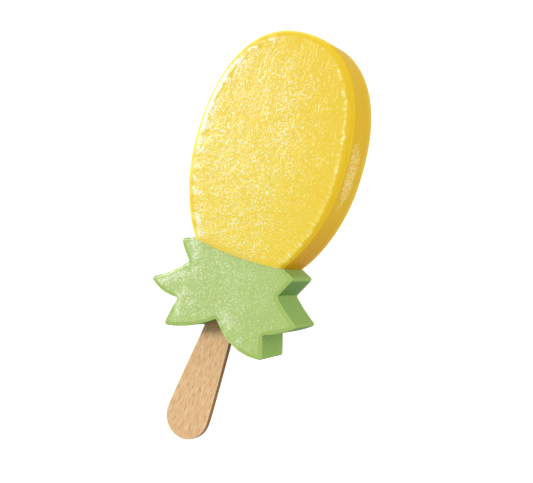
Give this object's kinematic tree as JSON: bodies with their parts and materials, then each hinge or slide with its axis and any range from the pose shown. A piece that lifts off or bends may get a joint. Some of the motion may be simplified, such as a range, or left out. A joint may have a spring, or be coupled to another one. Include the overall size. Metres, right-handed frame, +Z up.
{
  "type": "pineapple-shaped ice lolly",
  "caption": "Flat two-colour water ice lolly shaped like a pineapple, with a yellow fruit, a green leaf crown and a wide-ended wooden stick, lying on its back.",
  "frame": {"origin": "under the middle of the whole lolly, on the plane of its flat back face", "axes": "+Y along the lolly towards the top of the fruit, +Z up out of the front face, +X to the right as seen from the front with the fruit at the top"},
  "size_m": [0.0601, 0.1544, 0.0196],
  "materials": {
    "yellow_ice": "frosted yellow water ice, grainy on the front face and smooth at the sides",
    "green_ice": "frosted pale green water ice, grainy on the front face and smooth at the sides",
    "beech_wood": "smooth bare beech with short dark flecks along the grain and browner cut edges"
  },
  "bodies": {
    "root": {"fruit_ice": "yellow_ice", "crown_ice": "green_ice", "stick": "beech_wood"}
  },
  "joints": []
}
